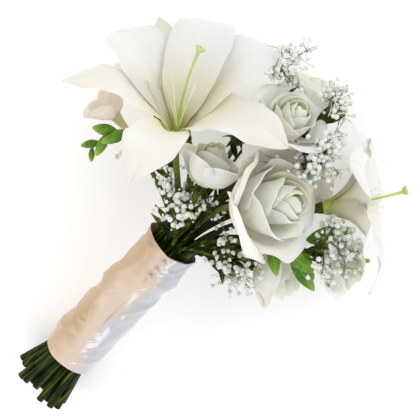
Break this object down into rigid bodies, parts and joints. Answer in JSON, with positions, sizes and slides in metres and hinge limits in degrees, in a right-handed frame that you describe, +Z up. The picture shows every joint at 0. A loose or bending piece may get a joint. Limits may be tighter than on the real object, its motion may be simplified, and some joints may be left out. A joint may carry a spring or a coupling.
{
  "type": "bridal bouquet",
  "caption": "Hand-tied bouquet of open lilies, roses, freesia and baby's breath, with a satin-wrapped handle and pearl pins, lying on its side.",
  "frame": {"origin": "middle of the underside of the bounding box, on the surface that the bouquet lies on", "axes": "+X along the bundle from the cut stems towards the flower head, +Y across it, +Z up from the surface"},
  "size_m": [0.3768, 0.298, 0.2118],
  "materials": {
    "lily_petal": "soft matt white petal with a faint sheen",
    "rose_petal": "velvety matt cream-white petal",
    "freesia_petal": "smooth warm white petal",
    "style": "smooth pale green plant tissue",
    "stem": "satin dark green stem",
    "bud": "satin bright green bud",
    "leaf": "slightly waxy bright green leaf",
    "baby_breath": "matt white blossoms on thin stems",
    "satin": "smooth satin ribbon with a soft gloss",
    "tape": "matt crepe stem tape",
    "pearl": "pearl lacquer"
  },
  "bodies": {
    "root": {"lily_front_bloom": "lily_petal", "lily_side_bloom": "lily_petal", "lily_back_bloom": "lily_petal", "lily_front_style": "style", "lily_side_style": "style", "lily_back_style": "style", "lily_front_stem": "stem", "lily_side_stem": "stem", "lily_back_stem": "stem", "rose_front_bloom": "rose_petal", "rose_top_bloom": "rose_petal", "rose_cup_bloom": "rose_petal", "rose_low_bloom": "rose_petal", "rose_edge_bloom": "rose_petal", "rose_tip_bloom": "rose_petal", "rose_under_left_bloom": "rose_petal", "rose_under_right_bloom": "rose_petal", "rose_front_stem": "stem", "rose_top_stem": "stem", "rose_cup_stem": "stem", "rose_low_stem": "stem", "rose_edge_stem": "stem", "rose_tip_stem": "stem", "rose_under_left_stem": "stem", "rose_under_right_stem": "stem", "freesia_comb": "bud", "freesia_floret": "freesia_petal", "leaf_sprig_front": "leaf", "leaf_sprig_left": "leaf", "leaf_sprig_right": "leaf", "baby_breath_collar": "baby_breath", "baby_breath_low": "baby_breath", "baby_breath_edge": "baby_breath", "baby_breath_heart": "baby_breath", "baby_breath_top": "baby_breath", "baby_breath_tip": "baby_breath", "baby_breath_left": "baby_breath", "baby_breath_under": "baby_breath", "satin_sleeve": "satin", "binding_tape": "tape", "pearl_pin_1": "pearl", "pearl_pin_2": "pearl", "pearl_pin_3": "pearl"}
  },
  "joints": []
}
